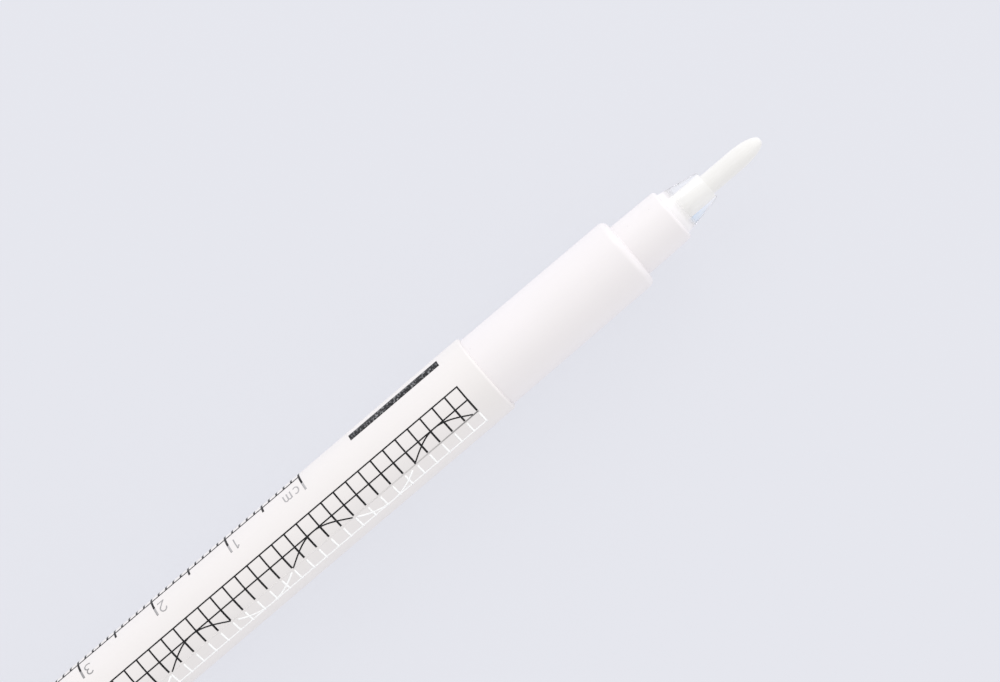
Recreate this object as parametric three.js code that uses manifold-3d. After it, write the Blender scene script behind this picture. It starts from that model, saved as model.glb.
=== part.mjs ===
// Surgical skin marker, ready to write, with its cap posted on the rear of the barrel.
// Millimetres, +Z up. The marker lies on a flat surface with its nib towards +X, and the
// cap's clip stops it from rolling. Stations along X are counted from the barrel's front
// face, and stations inside the cap from the cap's mouth.
import * as THREE from "three";
import { mergeVertices } from "three/addons/utils/BufferGeometryUtils.js";
import Module from "manifold-3d";

const wasm = await Module();
wasm.setup();

// Fits: the gap on each side between two pieces.
const PRESS_GAP = 0.05; // a pressed-in piece round its whole seat
const BUTT_GAP = 0.05; // two end faces that are pushed together
const CORE_GAP = 0.1; // the ink core in the pockets that hold its ends
const CAP_GAP = 0.06; // the cap's bore over the grip section or over the post
const FILM_GAP = 0.03; // the film round the ink core

// Barrel
const BARREL_DIAMETER = 9.25;
const BARREL_LENGTH = 84;
const BARREL_WALL = 0.975;
const BARREL_EDGE = 0.12; // the round on the barrel's edges
const SHOULDER_STEP = 0.38; // from the barrel down to the grip section, and to the rear post

// Grip section
const SECTION_LENGTH = 19.35;
const SECTION_EDGE = 0.85;
const SECTION_DRAFT = 0.05; // how much its radius narrows towards the front
const SPIGOT_LENGTH = 12;
const SPIGOT_WALL = 0.5;
const SPIGOT_LEAD = 0.3; // the lead-in on a spigot's end
const NECK_STEP = 1.115; // from the section down to its neck
const NECK_LENGTH = 5.75;
const NECK_EDGE = 0.4;
const NECK_DRAFT = 0.1;
const NECK_WALL = 0.6;
const FRONT_WALL = 1.2; // behind the section's front face, where the nib holder stops

// Clear nib holder
const HOLDER_REACH = 4.55; // how far its cone stands out of the neck
const HOLDER_TIP_WALL = 0.45;
const HOLDER_TIP_EDGE = 0.12;
const FLANGE_THICKNESS = 1.4;

// Fibre nib
const NIB_DIAMETER = 2.28;
const NIB_REACH = 7.15; // how far it stands out of its holder
const NIB_TAPER = 3.3; // the bullet-shaped front
const NIB_TIP_FLAT = 0.15; // radius of the blunt end of the bullet
const NIB_BITE = 7; // how deep its tail sits in the ink core
const NIB_TAIL_TAPER = 1.2;

// Ink core and its film
const FILM_THICKNESS = 0.12;
const FILM_SETBACK = 2.5; // bare core at each end

// Rear plug
const PLUG_SPIGOT_LENGTH = 10;
const POST_LENGTH = 14; // the part behind the barrel that the cap is pushed onto
const POST_END_WALL = 1;
const POST_EDGE = 0.4;

// Cap
const CAP_WALL = 0.7;
const CAP_END_WALL = 1.2;
const CAP_END_ROUND = 1.1;
const CAP_RIM_LENGTH = 3; // the full-width band at the mouth
const SECTION_TO_SEAL = 0.4; // room between the capped section and the seal's lip
const SEAL_WALL = 0.55;
const SEAL_LIP_HEIGHT = 0.25;
const SEAL_LIP_LENGTH = 1.2;
const NIB_ROOM = 1.2; // room past the tip of the capped nib
const SEAL_END_WALL = 0.7;

// Cap clip
const CLIP_LENGTH = 30;
const CLIP_WIDTH = 3.6;
const CLIP_THICKNESS = 1.25;
const CLIP_SLOT = 1.2; // from the cap's rim to the arm's inner face
const CLIP_SETBACK = 0.9; // from the cap's closed end to the clip's root
const CLIP_ROOT_LENGTH = 4.2;
const CLIP_ROOT_ROUND = 1.6;
const CLIP_BEAD_RADIUS = 0.9;
const CLIP_TIP_ROUND = 0.6;

// Facets round a turned piece
const SEGMENTS = 48;
const ARC_STEPS = 4;

// Radii that follow from the fits
const barrelRadius = BARREL_DIAMETER / 2;
const sectionRadius = barrelRadius - SHOULDER_STEP;
const postRadius = sectionRadius; // the cap fits either end
const barrelBore = barrelRadius - BARREL_WALL;
const spigotRadius = barrelBore - PRESS_GAP;
const pocketRadius = spigotRadius - SPIGOT_WALL; // holds each end of the ink core
const neckRadius = sectionRadius - NECK_STEP;
const neckBore = neckRadius - NECK_WALL;
const shankRadius = neckBore - PRESS_GAP;
const flangeRadius = pocketRadius - PRESS_GAP;
const nibRadius = NIB_DIAMETER / 2;
const nibBore = nibRadius + PRESS_GAP;
const holderTipRadius = nibBore + HOLDER_TIP_WALL;
const filmRadius = pocketRadius - CORE_GAP;
const coreRadius = filmRadius - FILM_THICKNESS - FILM_GAP;
const capBore = sectionRadius + CAP_GAP;
const capRimRadius = capBore + CAP_WALL;
const lipRadius = neckRadius + CAP_GAP;
const sealBore = lipRadius + SEAL_LIP_HEIGHT;
const sealRadius = sealBore + SEAL_WALL;
const sealPocket = sealRadius + PRESS_GAP;
const capEndRadius = sealPocket + CAP_WALL;

// Stations along the axis, from the barrel's front face
const barrelRear = -BARREL_LENGTH;
const postFront = barrelRear - BUTT_GAP;
const postRear = barrelRear - POST_LENGTH;
const postFloor = postRear + POST_END_WALL;
const neckFront = SECTION_LENGTH + NECK_LENGTH;
const holderStop = SECTION_LENGTH - FRONT_WALL;
const holderFront = neckFront + HOLDER_REACH;
const nibTip = holderFront + NIB_REACH;
const flangeFront = holderStop - BUTT_GAP;
const flangeRear = flangeFront - FLANGE_THICKNESS;
const coreFront = flangeRear - BUTT_GAP;
const nibTail = coreFront - NIB_BITE;
const coreRear = postFloor + BUTT_GAP;
const plugFront = barrelRear + PLUG_SPIGOT_LENGTH;
const capMouth = barrelRear - BUTT_GAP;

// Depths inside the cap, from its mouth
const sealMouthDepth = SECTION_LENGTH + SECTION_TO_SEAL;
const sealFloorDepth = nibTip + NIB_ROOM;
const sealEndDepth = sealFloorDepth + SEAL_END_WALL;
const capFloorDepth = sealEndDepth + BUTT_GAP;
const capLength = capFloorDepth + CAP_END_WALL;

const FINISHES = {
  barrelPlastic: { color: 0xf3f0ee, roughness: 0.42, metalness: 0 },
  sectionPlastic: { color: 0xf5f1f2, roughness: 0.38, metalness: 0 },
  clearPlastic: { color: 0xe6eef2, roughness: 0.08, metalness: 0, transparent: true, opacity: 0.35 },
  nibFibre: { color: 0xf4f2ec, roughness: 0.9, metalness: 0 },
  inkCore: { color: 0x4a3f86, roughness: 0.95, metalness: 0 },
  coreFilm: { color: 0xdfe3ea, roughness: 0.25, metalness: 0 },
  sealPlastic: { color: 0xe9ebec, roughness: 0.5, metalness: 0 },
};

// Points of an arc in a profile: centre at x and radius r, angles in degrees from +X outwards.
function arc(x, r, radius, from, to, steps = ARC_STEPS) {
  return Array.from({ length: steps + 1 }, (_, i) => {
    const angle = THREE.MathUtils.degToRad(from + ((to - from) * i) / steps);
    return [x + radius * Math.cos(angle), r + radius * Math.sin(angle)];
  });
}

// A profile of [x, radius] points, swept round the X axis. It runs to the front along the
// bore and back along the outside. A solid piece's profile starts and ends on the axis, and
// a hollow piece's closes on itself.
function turned(profile) {
  const points = profile.map(([x, radius]) => new THREE.Vector2(radius, x)).reverse();
  const hollow = points[0].x > 0;
  if (hollow) points.push(points[0].clone());
  return new THREE.LatheGeometry(points, SEGMENTS).rotateZ(-Math.PI / 2);
}

function piece(name, geometry, finish) {
  const mesh = new THREE.Mesh(geometry, new THREE.MeshStandardMaterial(FINISHES[finish]));
  mesh.name = name;
  return mesh;
}

// Plain printed tube. The grip section is pressed into its front and the plug into its rear.
function makeBarrel() {
  const profile = [
    [barrelRear, barrelBore],
    [0, barrelBore],
    ...arc(-BARREL_EDGE, barrelRadius - BARREL_EDGE, BARREL_EDGE, 0, 90),
    ...arc(barrelRear + BARREL_EDGE, barrelRadius - BARREL_EDGE, BARREL_EDGE, 90, 180),
  ];
  return piece("barrel", turned(profile), "barrelPlastic");
}

// Front moulding: a spigot inside the barrel, the smooth collar, and the neck that holds
// the nib holder.
function makeGripSection() {
  const profile = [
    [-SPIGOT_LENGTH, pocketRadius],
    [holderStop, pocketRadius],
    [holderStop, neckBore],
    [neckFront, neckBore],
    ...arc(neckFront - NECK_EDGE, neckRadius - NECK_DRAFT - NECK_EDGE, NECK_EDGE, 0, 90),
    [SECTION_LENGTH, neckRadius],
    ...arc(
      SECTION_LENGTH - SECTION_EDGE,
      sectionRadius - SECTION_DRAFT - SECTION_EDGE,
      SECTION_EDGE,
      0,
      90,
    ),
    [BUTT_GAP, sectionRadius],
    [BUTT_GAP, spigotRadius],
    [-SPIGOT_LENGTH + SPIGOT_LEAD, spigotRadius],
    [-SPIGOT_LENGTH, spigotRadius - SPIGOT_LEAD],
  ];
  return piece("grip_section", turned(profile), "sectionPlastic");
}

// Clear moulding that grips the nib: a flange behind the neck, a shank through it, and
// the cone in front.
function makeNibHolder() {
  const tipEdge = arc(
    holderFront - HOLDER_TIP_EDGE,
    holderTipRadius - HOLDER_TIP_EDGE,
    HOLDER_TIP_EDGE,
    0,
    90,
  );
  const profile = [
    [flangeRear, nibBore],
    [holderFront, nibBore],
    ...tipEdge,
    [neckFront, shankRadius],
    [flangeFront, shankRadius],
    [flangeFront, flangeRadius],
    [flangeRear, flangeRadius],
  ];
  return piece("nib_holder", turned(profile), "clearPlastic");
}

// Fibre rod with a bullet tip and a tapered tail that sits in the ink core.
function makeNib() {
  const bulletSteps = 8;
  const bullet = Array.from({ length: bulletSteps + 1 }, (_, i) => {
    const angle = (Math.PI / 2) * (i / bulletSteps);
    const x = nibTip - NIB_TAPER + NIB_TAPER * Math.cos(angle);
    return [x, NIB_TIP_FLAT + (nibRadius - NIB_TIP_FLAT) * Math.sin(angle)];
  });
  const profile = [
    [nibTip, 0],
    ...bullet,
    [nibTail + NIB_TAIL_TAPER, nibRadius],
    [nibTail, nibRadius / 2],
    [nibTail, 0],
  ];
  return piece("nib", turned(profile), "nibFibre");
}

// Wound fibre rod that stores the ink, with a blind hole for the nib's tail.
function makeInkCore() {
  const holeEnd = nibTail - BUTT_GAP;
  const profile = [
    [holeEnd, 0],
    [holeEnd, nibBore],
    [coreFront, nibBore],
    [coreFront, coreRadius],
    [coreRear, coreRadius],
    [coreRear, 0],
  ];
  return piece("ink_reservoir", turned(profile), "inkCore");
}

// Thin film tube wrapped round the ink core.
function makeCoreFilm() {
  const profile = [
    [coreRear + FILM_SETBACK, coreRadius + FILM_GAP],
    [coreFront - FILM_SETBACK, coreRadius + FILM_GAP],
    [coreFront - FILM_SETBACK, filmRadius],
    [coreRear + FILM_SETBACK, filmRadius],
  ];
  return piece("reservoir_sleeve", turned(profile), "coreFilm");
}

// Cup that closes the rear of the barrel: a spigot inside it, the post that takes the cap,
// and a pocket for the end of the ink core.
function makeRearPlug() {
  const profile = [
    [postFloor, 0],
    [postFloor, pocketRadius],
    [plugFront, pocketRadius],
    [plugFront, spigotRadius - SPIGOT_LEAD],
    [plugFront - SPIGOT_LEAD, spigotRadius],
    [postFront, spigotRadius],
    [postFront, postRadius],
    ...arc(postRear + POST_EDGE, postRadius - POST_EDGE, POST_EDGE, 90, 180),
    [postRear, 0],
  ];
  return piece("rear_plug", turned(profile), "barrelPlastic");
}

// A closed mesh as a solid that can be joined and cut.
function solidFrom(geometry) {
  const bare = geometry.clone();
  bare.deleteAttribute("normal");
  bare.deleteAttribute("uv");
  const merged = mergeVertices(bare);
  return new wasm.Manifold(
    new wasm.Mesh({
      numProp: 3,
      vertProperties: new Float32Array(merged.attributes.position.array),
      triVerts: new Uint32Array(merged.index.array),
    }),
  );
}

function geometryFrom(solid) {
  const mesh = solid.getMesh();
  const geometry = new THREE.BufferGeometry();
  geometry.setAttribute("position", new THREE.BufferAttribute(mesh.vertProperties, 3));
  geometry.setIndex(new THREE.BufferAttribute(mesh.triVerts, 1));
  geometry.computeVertexNormals();
  return geometry;
}

// The clip's side outline, with x along the cap and y outwards from its axis.
const clipInner = capRimRadius + CLIP_SLOT;
const clipOuter = clipInner + CLIP_THICKNESS;

function clipOutline() {
  const rear = -capLength + CLIP_SETBACK;
  const tip = rear + CLIP_LENGTH;
  const foot = capEndRadius - CAP_WALL / 2; // sunk half way into the cap's wall
  const bead = tip - CLIP_BEAD_RADIUS;
  const outline = new THREE.Shape();
  outline.moveTo(rear, foot);
  outline.lineTo(rear + CLIP_ROOT_LENGTH, foot);
  outline.lineTo(rear + CLIP_ROOT_LENGTH, clipInner);
  outline.lineTo(bead - CLIP_BEAD_RADIUS, clipInner);
  outline.absarc(bead, clipInner, CLIP_BEAD_RADIUS, Math.PI, 2 * Math.PI, false);
  outline.lineTo(tip, clipOuter - CLIP_TIP_ROUND);
  outline.absarc(tip - CLIP_TIP_ROUND, clipOuter - CLIP_TIP_ROUND, CLIP_TIP_ROUND, 0, Math.PI / 2, false);
  const rootCentre = clipOuter - CLIP_ROOT_ROUND;
  outline.absarc(rear + CLIP_ROOT_ROUND, rootCentre, CLIP_ROOT_ROUND, Math.PI / 2, Math.PI, false);
  outline.closePath();
  return outline;
}

// How far the clip turns below the horizontal, so that its outer corner and the cap's rim
// both lie on the surface under the marker.
function clipDroop() {
  const halfWidth = CLIP_WIDTH / 2;
  const corner = Math.hypot(clipOuter, halfWidth);
  return Math.asin(capRimRadius / corner) - Math.atan2(halfWidth, clipOuter);
}

// Tapered cup with a pocket clip: a bore for the grip section, and a narrower pocket for
// the seal.
function makeCapShell() {
  const profile = [
    [-capFloorDepth, 0],
    [-capFloorDepth, sealPocket],
    [-sealMouthDepth, sealPocket],
    [-sealMouthDepth, capBore],
    [0, capBore],
    ...arc(-BARREL_EDGE, capRimRadius - BARREL_EDGE, BARREL_EDGE, 0, 90),
    [-CAP_RIM_LENGTH, capRimRadius],
    ...arc(-capLength + CAP_END_ROUND, capEndRadius - CAP_END_ROUND, CAP_END_ROUND, 90, 180),
    [-capLength, 0],
  ];
  const clip = new THREE.ExtrudeGeometry(clipOutline(), {
    depth: CLIP_WIDTH,
    bevelEnabled: false,
    curveSegments: ARC_STEPS,
  });
  clip.translate(0, 0, -CLIP_WIDTH / 2);
  clip.rotateX(-clipDroop());
  const shell = solidFrom(turned(profile)).add(solidFrom(clip));
  return piece("cap_shell", geometryFrom(shell), "barrelPlastic");
}

// Cup pressed into the cap, with a lip that closes on the neck so that the nib stays wet.
function makeCapSeal() {
  const profile = [
    [-sealFloorDepth, 0],
    [-sealFloorDepth, sealBore],
    [-sealMouthDepth - SEAL_LIP_LENGTH, sealBore],
    [-sealMouthDepth - SEAL_LIP_LENGTH / 2, lipRadius],
    [-sealMouthDepth, lipRadius],
    [-sealMouthDepth, sealRadius],
    [-sealEndDepth, sealRadius],
    [-sealEndDepth, 0],
  ];
  return piece("cap_inner_seal", turned(profile), "sealPlastic");
}

const pen = new THREE.Group();
pen.add(
  makeBarrel(),
  makeGripSection(),
  makeNibHolder(),
  makeNib(),
  makeInkCore(),
  makeCoreFilm(),
  makeRearPlug(),
);

const cap = new THREE.Group();
cap.position.x = capMouth;
cap.add(makeCapShell(), makeCapSeal());

// The origin is under the middle of the marker, on the surface that it lies on.
const marker = new THREE.Group();
marker.add(pen, cap);
marker.updateMatrixWorld(true);
const bounds = new THREE.Box3().setFromObject(marker, true);
const middle = bounds.getCenter(new THREE.Vector3());
marker.position.set(-middle.x, -middle.y, -bounds.min.z);

export default marker;
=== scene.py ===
"""The looks of a surgical skin marker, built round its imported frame.

Sizes are in millimetres and become metres in the meshes. A station is a distance along the
marker's axis from the barrel's front face, positive towards the nib. An angle goes round the
axis from straight up towards +Y. The print is laid out on the unrolled barrel, as a distance
behind its front face and an arc length round it.
"""

import logging
import math
from abc import ABC, abstractmethod
from dataclasses import dataclass
from enum import Enum
from typing import Any, Mapping, Optional, Sequence, Union

import bpy
import numpy as np
from mathutils import Matrix, Vector


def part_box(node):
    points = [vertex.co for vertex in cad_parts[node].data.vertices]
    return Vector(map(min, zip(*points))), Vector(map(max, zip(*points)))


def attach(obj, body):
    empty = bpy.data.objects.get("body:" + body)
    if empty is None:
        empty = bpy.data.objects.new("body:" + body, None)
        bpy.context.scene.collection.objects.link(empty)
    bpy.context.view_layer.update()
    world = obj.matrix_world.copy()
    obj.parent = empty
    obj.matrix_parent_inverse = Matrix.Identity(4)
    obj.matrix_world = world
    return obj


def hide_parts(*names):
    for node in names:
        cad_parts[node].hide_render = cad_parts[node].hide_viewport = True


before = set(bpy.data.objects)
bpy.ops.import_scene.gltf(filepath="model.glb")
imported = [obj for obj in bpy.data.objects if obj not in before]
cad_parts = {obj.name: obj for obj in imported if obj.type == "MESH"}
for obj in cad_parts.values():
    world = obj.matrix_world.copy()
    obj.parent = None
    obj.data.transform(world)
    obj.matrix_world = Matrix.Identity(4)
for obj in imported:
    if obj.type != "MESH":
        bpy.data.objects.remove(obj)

MM = 0.001
CENTIMETRE = 10
HALF_CENTIMETRE = 5
PHOTO_WIDTH = 1000
SENSOR_WIDTH = 36.0
LOG = logging.getLogger("marker")

# Turned pieces: facets round the axis, steps in a quarter turn of a fillet, and the fillet of
# an edge that is only just broken.
FACETS = 160
QUARTER_STEPS = 8
FINE_EDGE = 0.05

# A straight stretch of an outline: the longest one without a point between, how far inside it
# its first and last point lie, and the shortest one that gets any.
LONGEST_STRETCH = 2.0
STRETCH_MARGIN = 0.06
SHORTEST_STRETCH = 0.05

# The radius under which a point is on the axis, and the turn in radians under which an outline
# runs straight on.
ON_AXIS = 1e-9
NO_TURN = 1e-6

# Strokes of the print's signs: points in a straight one, and the fewest points in a bowed one
# and the degrees between them.
STRAIGHT_POINTS = 4
FEWEST_BOW_POINTS = 6
BOW_STEP = 12.0

Colour = tuple[float, float, float]
Direction = tuple[float, float, float]
Pair = tuple[float, float]

WHITE: Colour = (1.0, 1.0, 1.0)
NEAR_BLACK: Colour = (0.012, 0.012, 0.013)


class Body(Enum):
    """The two bodies that the cap's slide joins."""

    PEN = "pen"
    CAP = "cap"


@dataclass(frozen=True)
class Axis:
    """The marker's long axis, with station zero at the barrel's front face."""

    x: float
    y: float
    z: float
    barrel_radius: float

    @classmethod
    def from_frame(cls) -> "Axis":
        """Reads the axis from the barrel's box.

        Returns:
            The axis, in millimetres of the row frame.
        """
        low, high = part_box("barrel")
        return cls(
            x=high.x / MM,
            y=(low.y + high.y) / 2 / MM,
            z=(low.z + high.z) / 2 / MM,
            barrel_radius=(high.z - low.z) / 2 / MM,
        )

    def points(self, station: Any, radius: Any, angle: Any) -> np.ndarray:
        """Turns cylinder coordinates into places.

        Args:
            station: Stations along the axis.
            radius: Distances from the axis.
            angle: Angles round the axis in radians, from straight up towards +Y.

        Returns:
            Points in metres, with x, y and z in the last dimension.
        """
        x = self.x + station
        y = self.y + radius * np.sin(angle)
        z = self.z + radius * np.cos(angle)
        return np.stack(np.broadcast_arrays(x, y, z), axis=-1) * MM

    def stations(self, node: str) -> Pair:
        """The rear and front station of a node of the frame."""
        low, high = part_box(node)
        return low.x / MM - self.x, high.x / MM - self.x

    def radius_of(self, node: str) -> float:
        """The largest radius of a turned node of the frame."""
        low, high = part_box(node)
        return (high.z - low.z) / 2 / MM


NO_TRIANGLES = np.zeros((0, 3), dtype=int)


@dataclass
class Shell:
    """Points in metres, and the faces that join them with their fronts outwards."""

    points: np.ndarray
    quads: np.ndarray
    triangles: np.ndarray

    @staticmethod
    def capped(grid: np.ndarray, poles: np.ndarray) -> "Shell":
        """Joins rings of points into a shell, and closes both its ends on poles.

        Args:
            grid: Points by ring and by place round the ring.
            poles: The point that closes the first ring, and the one that closes the last.

        Returns:
            The closed shell.
        """
        rings, facets = grid.shape[:2]
        here = np.arange(facets)
        after = (here + 1) % facets
        last = (rings - 1) * facets
        pole = np.full(facets, rings * facets)
        first_fan = np.stack([pole, after, here], axis=-1)
        last_fan = np.stack([pole + 1, last + here, last + after], axis=-1)
        return Shell(
            np.concatenate([grid.reshape(-1, 3), poles]),
            quad_grid(rings, facets),
            np.concatenate([first_fan, last_fan]),
        )

    @staticmethod
    def joined(shells: Sequence["Shell"]) -> "Shell":
        """Puts several shells into one.

        Args:
            shells: The shells, which keep their order.

        Returns:
            One shell that holds all of them.
        """
        starts = np.cumsum([0] + [len(shell.points) for shell in shells])
        return Shell(
            np.concatenate([shell.points for shell in shells]),
            np.concatenate([shell.quads + start for shell, start in zip(shells, starts)]),
            np.concatenate([shell.triangles + start for shell, start in zip(shells, starts)]),
        )

    def mesh(self, name: str) -> bpy.types.Mesh:
        """Writes the shell into a smooth-shaded mesh.

        Args:
            name: The mesh's name.

        Returns:
            The new mesh.
        """
        mesh = bpy.data.meshes.new(name)
        corners = np.concatenate([self.quads.ravel(), self.triangles.ravel()]).astype(np.int32)
        sides = np.repeat([4, 3], [len(self.quads), len(self.triangles)])
        starts = np.concatenate([[0], np.cumsum(sides)[:-1]]).astype(np.int32)
        mesh.vertices.add(len(self.points))
        mesh.vertices.foreach_set("co", self.points.astype(np.float32).ravel())
        mesh.loops.add(len(corners))
        mesh.loops.foreach_set("vertex_index", corners)
        mesh.polygons.add(len(sides))
        mesh.polygons.foreach_set("loop_start", starts)
        mesh.polygons.foreach_set("use_smooth", np.ones(len(sides), dtype=bool))
        mesh.update(calc_edges=True)
        mesh.validate()
        return mesh


def quad_grid(rows: int, columns: int, rows_close: bool = False) -> np.ndarray:
    """Joins a grid of points, whose rows are closed, with quads.

    Args:
        rows: Number of rows, each of which holds its points one after another.
        columns: Number of points in a row.
        rows_close: Whether the last row is joined to the first.

    Returns:
        The quads, whose front is on the side of column direction times row direction.
    """
    row = np.arange(rows if rows_close else rows - 1)[:, None] * columns
    next_row = (row + columns) % (rows * columns)
    column = np.arange(columns)[None, :]
    next_column = (column + 1) % columns
    corners = [row + column, row + next_column, next_row + next_column, next_row + column]
    return np.stack(corners, axis=-1).reshape(-1, 4)


@dataclass(frozen=True)
class Corner:
    """A corner of a turned outline, and the radius that rounds it."""

    station: float
    radius: float
    fillet: float = FINE_EDGE


def rounded_corner(before: np.ndarray, corner: Corner, after: np.ndarray) -> np.ndarray:
    """Replaces a corner by a tangent arc.

    The arc's centre lies a fillet radius beside the incoming line, on the side that the
    outline turns to, and the arc starts the radius times tan(turn / 2) before the corner.

    Args:
        before: The previous corner as station and radius.
        corner: The corner itself.
        after: The next corner as station and radius.

    Returns:
        The arc's points, or the corner alone where the outline runs straight on.
    """
    here = np.array([corner.station, corner.radius])
    arriving = (here - before) / np.linalg.norm(here - before)
    leaving = (after - here) / np.linalg.norm(after - here)
    cross = arriving[0] * leaving[1] - arriving[1] * leaving[0]
    turn = math.atan2(cross, float(arriving @ leaving))
    if abs(turn) < NO_TURN:
        return here[None, :]
    start = here - arriving * corner.fillet * math.tan(abs(turn) / 2)
    side = np.array([-arriving[1], arriving[0]]) * math.copysign(1.0, turn)
    centre = start + side * corner.fillet
    steps = max(2, math.ceil(abs(turn) / (math.pi / 2) * QUARTER_STEPS))
    angles = np.linspace(0.0, turn, steps + 1)
    arm = start - centre
    cosines, sines = np.cos(angles), np.sin(angles)
    rotated = [arm[0] * cosines - arm[1] * sines, arm[0] * sines + arm[1] * cosines]
    return centre + np.stack(rotated, axis=-1)


def outline(corners: Sequence[Corner]) -> np.ndarray:
    """Makes the points of a turned outline.

    Each straight stretch gets a point just inside either end, so that the smooth shading of
    the arcs stays on the arcs, and further points where it is long.

    Args:
        corners: The corners in order. An outline that starts on the axis ends on it too, and
            any other one closes on itself.

    Returns:
        Stations and radii, one point in each row.
    """
    closed = corners[0].radius > 0.0
    places = np.array([[corner.station, corner.radius] for corner in corners])
    count = len(corners)
    arcs = []
    for i, corner in enumerate(corners):
        if closed or 0 < i < count - 1:
            arcs.append(rounded_corner(places[i - 1], corner, places[(i + 1) % count]))
        else:
            arcs.append(places[i][None, :])
    pieces = []
    for i, arc in enumerate(arcs):
        pieces.append(arc)
        start, end = arc[-1], arcs[(i + 1) % count][0]
        length = float(np.linalg.norm(end - start))
        if length < SHORTEST_STRETCH or (i == count - 1 and not closed):
            continue
        margin = min(STRETCH_MARGIN, length / 4)
        inner = np.linspace(margin, length - margin, 2 + int(length // LONGEST_STRETCH))
        pieces.append(start + (end - start) * (inner / length)[:, None])
    return np.concatenate(pieces)


def turned(axis: Axis, profile: np.ndarray, facets: int = FACETS) -> Shell:
    """Sweeps a profile round the axis.

    A point is profile(i) turned by angle(j). The profile runs to the rear on the outside, and
    a hollow piece's profile closes on itself along the bore. A profile that starts and ends on
    the axis gets a pole at each end.

    Args:
        axis: The marker's axis.
        profile: Stations and radii, one point in each row.
        facets: Number of facets round the axis.

    Returns:
        A closed shell with its faces outwards.
    """
    angles = np.linspace(0.0, 2 * math.pi, facets, endpoint=False)
    poled = profile[0, 1] < ON_AXIS
    rings = profile[1:-1] if poled else profile
    grid = axis.points(rings[:, :1], rings[:, 1:], angles[None, :])
    if poled:
        return Shell.capped(grid, axis.points(profile[[0, -1], 0], 0.0, 0.0))
    return Shell(grid.reshape(-1, 3), quad_grid(len(rings), facets, rows_close=True), NO_TRIANGLES)


class Signal:
    """An output of a shader node that can stand in sums and products."""

    def __init__(self, shader: "Shader", socket: bpy.types.NodeSocket) -> None:
        """Keeps the shader and the socket."""
        self.shader = shader
        self.socket = socket

    def output(self, name: str) -> "Signal":
        """Another output of the same node."""
        return Signal(self.shader, self.socket.node.outputs[name])

    def __add__(self, other: "Value") -> "Signal":
        """This plus another value."""
        return self.shader.number("ADD", self, other)

    def __sub__(self, other: "Value") -> "Signal":
        """This less another value."""
        return self.shader.number("SUBTRACT", self, other)

    def __rsub__(self, other: "Value") -> "Signal":
        """Another value less this."""
        return self.shader.number("SUBTRACT", other, self)

    def __mul__(self, other: "Value") -> "Signal":
        """This times another value."""
        return self.shader.number("MULTIPLY", self, other)

    __radd__ = __add__
    __rmul__ = __mul__

    def clamped(self) -> "Signal":
        """This, kept between 0 and 1."""
        return self.shader.node("Math", {0: self, 1: 0.0}, operation="ADD", use_clamp=True)


Value = Union[Signal, float]
NO_VALUES: Mapping[Union[str, int], Any] = {}
NOISE_ROUGHNESS = 0.55


class Shader:
    """The node tree of one material or of the world."""

    def __init__(self, owner: Union[bpy.types.Material, bpy.types.World]) -> None:
        """Empties the owner's node tree.

        Args:
            owner: The material or world that the tree belongs to.
        """
        owner.use_nodes = True
        self.tree = owner.node_tree
        self.tree.nodes.clear()
        self.end = "OutputWorld" if isinstance(owner, bpy.types.World) else "OutputMaterial"

    def node(
        self, kind: str, values: Mapping[Union[str, int], Any] = NO_VALUES, **settings: Any
    ) -> Signal:
        """Adds a node.

        Args:
            kind: The node's type, less the words that each type starts with.
            values: Numbers, colours or signals for its sockets, by name or by place.
            **settings: Its settings, which are set first.

        Returns:
            The node's first output in use, or its first input where it has no output.
        """
        made = self.tree.nodes.new(f"ShaderNode{kind}")
        for key, setting in settings.items():
            setattr(made, key, setting)
        for key, value in values.items():
            if isinstance(key, int):
                socket = made.inputs[key]
            else:
                socket = next(s for s in made.inputs if s.name == key and s.enabled)
            if isinstance(value, Signal):
                self.tree.links.new(value.socket, socket)
            else:
                socket.default_value = value
        outputs = [socket for socket in made.outputs if socket.enabled]
        return Signal(self, outputs[0] if outputs else made.inputs[0])

    def number(self, operation: str, first: Value, second: Value = 0.0) -> Signal:
        """One Math node on two values."""
        return self.node("Math", {0: first, 1: second}, operation=operation)

    def blended(self, share: Value, first: Any, second: Any) -> Signal:
        """A colour between two others, the second one where the share is 1."""
        values = {"Factor": share, "A": opaque(first), "B": opaque(second)}
        return self.node("Mix", values, data_type="RGBA")

    def mixed(self, share: Value, first: Signal, second: Signal) -> Signal:
        """A closure between two others, the second one where the share is 1."""
        return self.node("MixShader", {0: share, 1: first, 2: second})

    def span(self, value: Value, low: float, high: float) -> Signal:
        """0 at the low value and 1 at the high one, with a straight rise between."""
        values = {"Value": value, "From Min": low, "From Max": high}
        return self.node("MapRange", values, clamp=True)

    def noise(self, place: Signal, size: float, detail: float = 3.0) -> Signal:
        """Cloudy noise from 0 to 1, with clouds of about the given size in millimetres."""
        values = {"Vector": place, "Scale": 1.0 / size, "Detail": detail}
        return self.node("TexNoise", {**values, "Roughness": NOISE_ROUGHNESS})

    def bump(self, height: Signal, relief: float) -> Signal:
        """The normal of a height from 0 to 1 that stands for a relief in millimetres."""
        values = {"Strength": 1.0, "Distance": relief * MM, "Height": height}
        return self.node("Bump", values)

    def rays(self, *kinds: str) -> Signal:
        """Tells rays apart.

        Args:
            *kinds: Kinds of ray, such as Camera.

        Returns:
            1 for rays of these kinds and 0 for all others.
        """
        path = self.node("LightPath")
        found = path.output(f"Is {kinds[0]} Ray")
        for kind in kinds[1:]:
            found = self.number("MAXIMUM", found, path.output(f"Is {kind} Ray"))
        return found

    def principled(self, values: Mapping[str, Any]) -> Signal:
        """A Principled shader with the given sockets."""
        return self.node("BsdfPrincipled", values)

    def surface(self, closure: Signal) -> None:
        """Sends a closure to the output."""
        self.node(self.end, {"Surface": closure})


def opaque(colour: Any) -> Any:
    """A plain colour with its alpha, or a signal as it is."""
    return colour if isinstance(colour, Signal) else (*colour, 1.0)


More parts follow.
